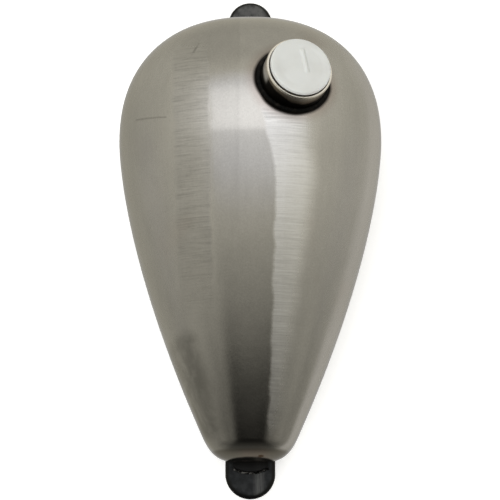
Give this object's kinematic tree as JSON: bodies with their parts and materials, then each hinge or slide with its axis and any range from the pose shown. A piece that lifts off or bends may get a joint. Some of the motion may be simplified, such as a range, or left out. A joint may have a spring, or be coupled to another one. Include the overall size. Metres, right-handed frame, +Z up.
{
  "type": "motorcycle fuel tank",
  "caption": "Teardrop bare-steel motorcycle fuel tank with a backbone tunnel, tongue mounts front and rear, a leaning screw-in filler cap and a plugged petcock bung",
  "frame": {"origin": "under the middle of the whole assembly with its tongues, on the plane of the flat bottom plates", "axes": "+Y is the tank's front (towards the steering head), +X the rider's right (the filler's side), +Z up"},
  "size_m": [0.2558, 0.5066, 0.2018],
  "materials": {
    "brushed_steel": "bare mild steel sheet, lengthwise brushing, cross-ground along the welded seams",
    "turned_steel": "turned bare steel, heat-browned near the weld",
    "scale_steel": "hot-rolled steel with its dark mill scale",
    "weld_metal": "dark, heat-blackened weld bead",
    "white_plastic": "moulded polyethylene, satin",
    "red_plastic": "moulded polyethylene, satin",
    "black_rubber": "matt nitrile rubber"
  },
  "bodies": {
    "tank": {"shell_left": "brushed_steel", "shell_right": "brushed_steel", "top_strip": "brushed_steel", "tail_plate": "brushed_steel", "tunnel": "brushed_steel", "bottom_left": "brushed_steel", "bottom_right": "brushed_steel", "seam_weld_left": "weld_metal", "seam_weld_right": "weld_metal", "front_tab": "scale_steel", "rear_tab": "scale_steel", "front_doubler": "scale_steel", "rear_doubler": "scale_steel", "front_tab_weld": "weld_metal", "rear_tab_weld": "weld_metal", "filler_neck": "turned_steel", "neck_weld": "weld_metal", "petcock_bung": "turned_steel"},
    "gasket": {"cap_gasket": "black_rubber"},
    "cap": {"filler_cap": "white_plastic"},
    "washer": {"plug_washer": "black_rubber"},
    "plug": {"thread_plug": "red_plastic"}
  },
  "joints": [
    {"name": "cap_lift", "type": "slide", "parent": "tank", "child": "gasket", "axis": [0.2568, 0.1709, 0.9512], "range_m": [0, 0.0175]},
    {"name": "cap_turn", "type": "hinge", "parent": "gasket", "child": "cap", "pos_m": [0.04, 0.1205, 0.16835], "axis": [0.2568, 0.1709, 0.9512], "range_deg": [0, 1260]},
    {"name": "plug_drop", "type": "slide", "parent": "tank", "child": "washer", "axis": [0, 0, -1], "range_m": [0, 0.012]},
    {"name": "plug_turn", "type": "hinge", "parent": "washer", "child": "plug", "pos_m": [-0.052, -0.062, 0], "axis": [0, 0, -1], "range_deg": [0, 2880]}
  ],
  "couplings": [
    {"joint": "cap_lift", "follows": "cap_turn", "m_per_rad": 0.00079577},
    {"joint": "plug_turn", "follows": "plug_drop", "rad_per_m": 4188.8}
  ]
}
